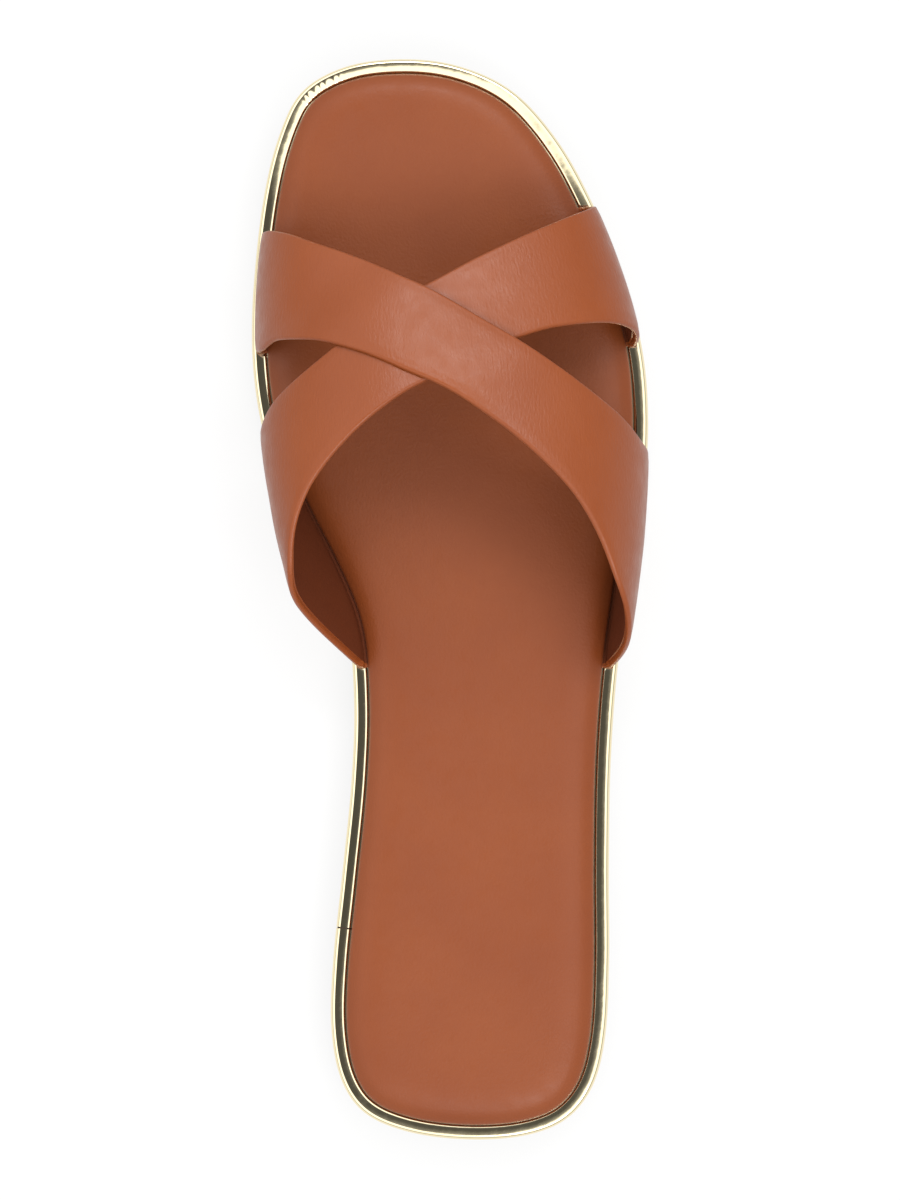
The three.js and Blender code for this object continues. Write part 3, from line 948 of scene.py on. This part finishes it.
# Rand: the gold strip, open at its seam
def rand_section():
    section = []
    for turn in np.linspace(0, math.pi / 2, 4):
        inset = RAND_FOOT_ROUND * (1 - math.sin(turn))
        section.append((inset, "foot", RAND_FOOT_ROUND * (1 - math.cos(turn))))
    for rise in (2.2, 4.2, 6.2):
        section.append((0.0, "foot", rise))
    for turn in np.linspace(0, math.pi / 2, 12):
        inset = SHOULDER_REACH * (1 - math.cos(turn))
        section.append((inset, "rim", -SHOULDER_RADIUS * (1 - math.sin(turn))))
    slope_start = RIM_WIDTH - BEAD_ROLL
    slope_end = slope_start + BEAD_SLOPE
    drop = BEAD_SLOPE * math.tan(math.radians(BEAD_SLOPE_ANGLE))
    section.append(((SHOULDER_REACH + slope_start) / 2, "rim", 0.0))
    section.append((slope_start - BEAD_EASE, "rim", 0.0))
    section.append((slope_start + BEAD_EASE, "rim", -BEAD_EASE * drop / BEAD_SLOPE))
    section.append((slope_end, "rim", -drop))
    for turn in np.linspace(0.35, math.pi / 2, 6):
        inset = slope_end + (RIM_WIDTH + 0.15 - slope_end) * math.sin(turn)
        section.append((inset, "rim", -drop - (BEAD_DROP - drop) * (1 - math.cos(turn))))
    section.append((RIM_WIDTH + LIP_REACH, "rim", -BEAD_DROP))
    section.append((RIM_WIDTH + LIP_REACH, "rim", -BEAD_DROP - LIP_THICKNESS))
    section.append((RAND_WALL, "rim", -BEAD_DROP - LIP_THICKNESS))
    section.append((RAND_WALL, "foot", 0.0))
    return section


# Small ripples across the rim where the strip is bent round the inner toe corner
sample_step = np.linalg.norm(outline_points[1] - outline_points[0])
ripple_centre = int(np.argmin(np.linalg.norm(outline_points - np.array(RIPPLE_PLACE), axis=1)))


def ripple_at(stations):
    along = (stations % OUTLINE_SAMPLES - ripple_centre) * sample_step
    here = 1 - smoothstep(np.abs(along), RIPPLE_REACH * 0.5, RIPPLE_REACH)
    wander = along + 0.25 * np.sin(along * 1.3)
    return RIPPLE_HEIGHT * here * np.sin(2 * math.pi * wander / RIPPLE_PITCH)


# Section of the rand swept through stations of the outline
def sweep(shell, stations, recess, slot):
    point, normal = outline_at(stations)
    ripple = ripple_at(stations)
    columns = []
    for inset, base, rise in rand_section():
        outside = inset < SHOULDER_REACH
        deeper = recess if outside or base == "rim" and rise > -BEAD_DROP - 0.1 else 0
        moved = point - normal * (inset + (recess if outside else 0))
        top = rim_z(moved[:, 1])
        z = platform_z(moved[:, 1]) + rise if base == "foot" else top + rise - deeper
        if base == "rim" and SHOULDER_REACH * 0.9 < inset < RIM_WIDTH and rise > -0.2:
            z = z + ripple * smoothstep(inset, *RIPPLE_INSET)
        under = strap_passes(moved[:, 0], moved[:, 1])
        if inset > STRAP_PASS_INSET:
            z = np.where(under > 0, np.minimum(z, z * (1 - under) + (top - BEAD_DROP) * under), z)
        columns.append(np.column_stack([moved, z]))
    loop = np.stack(columns, axis=1)
    count = loop.shape[1]
    first = shell.add(loop.reshape(-1, 3))
    for s in range(len(stations) - 1):
        for i in range(count):
            j = (i + 1) % count
            p = first + s * count
            shell.face(p + i, p + j, p + count + j, p + count + i, slot=slot)
    shell.face(*range(first, first + count), slot=slot)
    last = first + (len(stations) - 1) * count
    shell.face(*reversed(range(last, last + count)), slot=slot)


def make_rand():
    seam_y = length_at(SEAM_ALONG)
    start = float(index_at(np.array([seam_y - SEAM_GAP / 2]), False)[0])
    end = float(index_at(np.array([seam_y + SEAM_GAP / 2]), False)[0]) + OUTLINE_SAMPLES
    reach = RIPPLE_REACH / sample_step
    centre = start + (ripple_centre - start) % OUTLINE_SAMPLES
    fine = np.linspace(centre - reach, centre + reach, RIPPLE_STATIONS)
    stations = np.linspace(start, end, RAND_STATIONS)
    stations = stations[(stations < fine[0] - 1) | (stations > fine[-1] + 1)]
    shell = Shell()
    sweep(shell, np.sort(np.concatenate([stations, fine])), 0.0, 0)
    filler = np.array([end - 3.0, end + 0.5, start + OUTLINE_SAMPLES + 3.0])
    sweep(shell, filler, SEAM_RECESS, 1)
    return shell.build("rand_strip", [gold, cement], None, 60)


rand_strip = make_rand()
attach(rand_strip, "root")
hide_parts("rand")


# Outsole: moulded unit with cross grooves in its heel and forefoot treads
def groove_middles():
    count = math.floor((SOLE_LENGTH - 2 * TREAD_BORDER) / GROOVE_PITCH)
    middles = [(i - count / 2) * GROOVE_PITCH for i in range(count + 1)]
    low = outline_points[:, 1].min() + TREAD_BORDER + GROOVE_WIDTH
    high = outline_points[:, 1].max() - TREAD_BORDER - GROOVE_WIDTH
    return [y for y in middles if low < y < high and arch_at(share_at(y)) <= 0]


def make_outsole():
    low, high = outline_points[:, 1].min(), outline_points[:, 1].max()
    even = low + (high - low) * (1 - np.cos(np.pi * np.arange(OUTSOLE_ROWS) / (OUTSOLE_ROWS - 1))) / 2
    half = GROOVE_WIDTH / 2
    walls = {}
    for y in groove_middles():
        walls.update({y - half: 0, y - half + GROOVE_DRAFT: 1, y + half - GROOVE_DRAFT: 1, y + half: 0})
    clear = [y for y in even if all(abs(y - middle) > half + 0.15 for middle in groove_middles())]
    rows = np.array(sorted([*clear, *walls]))
    cut = np.array([walls.get(y, 0) for y in rows])
    outer, inner = index_at(rows, True), index_at(rows, False)
    outer[0], outer[-1] = 0, toe_index
    point, normal = outline_at(np.concatenate([outer, inner[1:-1][::-1]]))
    size, last = len(point), len(rows) - 1
    pair = (size - np.arange(last + 1)) % size

    def level(inset, height_at, rise=0.0):
        moved = point - normal * inset
        return np.column_stack([moved, height_at(moved[:, 1]) + rise])

    shell = Shell()
    rings = []
    for turn in np.linspace(0, math.pi / 2, 5):
        inset = OUTSOLE_INSET + OUTSOLE_CHAMFER * (1 - math.sin(turn))
        rings.append(level(inset, ground_z, OUTSOLE_CHAMFER * (1 - math.cos(turn))))
    foot, top = rings[-1], level(OUTSOLE_INSET, outsole_top_z)
    for share in (0.5, 1.0):
        now = top.copy()
        now[:, 2] = foot[:, 2] + (top[:, 2] - OUTSOLE_TOP_ROUND - foot[:, 2]) * share
        rings.append(now)
    rings.append(level(OUTSOLE_INSET + OUTSOLE_TOP_ROUND, outsole_top_z))
    starts = [shell.add(one) for one in rings]
    for a, b in zip(starts, starts[1:]):
        shell.band(a, b, size)

    # Rows across the top and the bottom, the bottom's with the grooves between their end walls
    border = outline_points - outline_normals * TREAD_BORDER
    border_outer, border_inner = border[: toe_index + 1], border[toe_index:][::-1]

    def across(first, loop, height_at, groove):
        lines = [[first] * 10]
        for k in range(1, last):
            a, b = loop[k], loop[pair[k]]
            y = (a[1] + b[1]) / 2
            right = np.interp(y, border_outer[:, 1], border_outer[:, 0])
            left = np.interp(y, border_inner[:, 1], border_inner[:, 0])
            wide = right - left > SHORTEST_GROOVE
            right, left = (right, left) if wide else (a[0] * 0.7 + b[0] * 0.3, a[0] * 0.3 + b[0] * 0.7)
            x = [right, right - GROOVE_DRAFT, *np.linspace(right, left, 6)[1:-1], left + GROOVE_DRAFT, left]
            share = (np.array(x) - a[0]) / (b[0] - a[0])
            inside = a + (b - a) * share[:, None]
            deep = np.array([0, 1, 1, 1, 1, 1, 1, 0]) * GROOVE_DEPTH * groove[k] * wide
            inside[:, 2] = height_at(inside[:, 1]) + deep
            start = shell.add(inside)
            lines.append([first + k, *range(start, start + 8), first + pair[k]])
        lines.append([first + last] * 10)
        return lines

    for first, loop, height_at, groove, upwards in (
        (starts[0], rings[0], ground_z, cut, False),
        (starts[-1], rings[-1], outsole_top_z, cut * 0, True),
    ):
        lines = across(first, loop, height_at, groove)
        for a, b in zip(lines, lines[1:]):
            for j in range(9):
                corners = list(dict.fromkeys([a[j], b[j], b[j + 1], a[j + 1]]))
                if len(corners) > 2:
                    shell.face(*(corners if upwards else corners[::-1]))
    return shell.build("outsole_unit", [rubber])


outsole_unit = make_outsole()
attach(outsole_unit, "root")
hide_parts("outsole")

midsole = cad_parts["midsole"]
midsole.data.materials.clear()
midsole.data.materials.append(foam)


# Floor
def make_floor():
    mesh = bpy.data.meshes.new("floor")
    reach, z = FLOOR_REACH, -FLOOR_DEPTH
    corners = [(-reach, -reach, z), (reach, -reach, z), (reach, reach, z), (-reach, reach, z)]
    mesh.from_pydata(corners, [], [(0, 1, 2, 3)])
    made, tree, shader = start_material("pale floor")
    plain = coordinates(tree, "Object", (1, 1, 1))
    tone = blend_colours(tree, noise(tree, plain, 3, 2.0), (0.12, 0.12, 0.12), (0.13, 0.13, 0.13))
    tree.links.new(tone, shader.inputs["Base Color"])
    shader.inputs["Roughness"].default_value = 0.9
    shader.inputs["Specular IOR Level"].default_value = 0.1
    shader.inputs["Emission Color"].default_value = (1, 1, 1, 1)
    shader.inputs["Emission Strength"].default_value = FLOOR_GLOW
    mesh.materials.append(made)
    floor = bpy.data.objects.new("floor", mesh)
    bpy.context.scene.collection.objects.link(floor)
    return floor


make_floor()


# Light
def make_world():
    world = bpy.data.worlds.new("studio")
    bpy.context.scene.world = world
    world.use_nodes = True
    tree = world.node_tree
    tree.nodes.clear()
    output = tree.nodes.new("ShaderNodeOutputWorld")
    back = tree.nodes.new("ShaderNodeBackground")
    place = tree.nodes.new("ShaderNodeTexCoord")
    lean = tree.nodes.new("ShaderNodeMapping")
    lean.inputs["Rotation"].default_value = [math.radians(turn) for turn in DARK_SPOT_LEAN]
    split = tree.nodes.new("ShaderNodeSeparateXYZ")
    ramp = tree.nodes.new("ShaderNodeValToRGB")
    tree.links.new(place.outputs["Generated"], lean.inputs["Vector"])
    tree.links.new(lean.outputs[0], split.inputs[0])
    tree.links.new(split.outputs["Z"], ramp.inputs[0])
    tree.links.new(ramp.outputs[0], back.inputs["Color"])
    tree.links.new(back.outputs[0], output.inputs[0])
    stops = (
        (0.0, 0.55),
        (0.06, 0.52),
        (0.12, 0.45),
        (0.35, 0.78),
        (0.52, 1.5),
        (0.65, 1.75),
        (0.9, 1.75),
        (0.9555, 1.65),
        (0.96, 1.4),
        (0.9636, 0.75),
        (0.9677, 0.33),
        (0.9796, 0.17),
        (0.9836, 0.095),
        (1.0, 0.085),
    )
    points = ramp.color_ramp.elements
    while len(points) < len(stops):
        points.new(0.5)
    for point, (at, level) in zip(points, stops):
        point.position = at
        point.color = (level, level, level, 1)
    back.inputs["Strength"].default_value = 1.0


def softbox(name, place, size, power, aim=(0, 0, 0.02)):
    data = bpy.data.lights.new(name, "AREA")
    data.shape = "RECTANGLE"
    data.size, data.size_y = size
    data.energy = power
    lamp = bpy.data.objects.new(name, data)
    lamp.location = place
    lamp.rotation_euler = (Vector(place) - Vector(aim)).to_track_quat("Z", "Y").to_euler()
    bpy.context.scene.collection.objects.link(lamp)
    return lamp


make_world()
softbox("front softbox", place=(0.3, 1.0, 1.5), size=(1.3, 0.4), power=12)
softbox("rear softbox", place=(0.5, -0.95, 1.5), size=(0.9, 0.6), power=10.5)


# Camera: straight above, toe at the top of the picture
def make_camera():
    data = bpy.data.cameras.new("camera")
    data.sensor_fit = "AUTO"
    data.sensor_width = SENSOR
    data.lens = SENSOR * (PIXELS_PER_MM * 1000 * (CAMERA_HEIGHT - SUBJECT_HEIGHT)) / FRAME_PIXELS
    camera = bpy.data.objects.new("camera", data)
    camera.location = (0, 0, CAMERA_HEIGHT)
    camera.rotation_euler = (0, 0, 0)
    data.clip_start, data.clip_end = 0.05, 50
    bpy.context.scene.collection.objects.link(camera)
    bpy.context.scene.camera = camera


make_camera()
bpy.context.scene.view_settings.view_transform = "Standard"
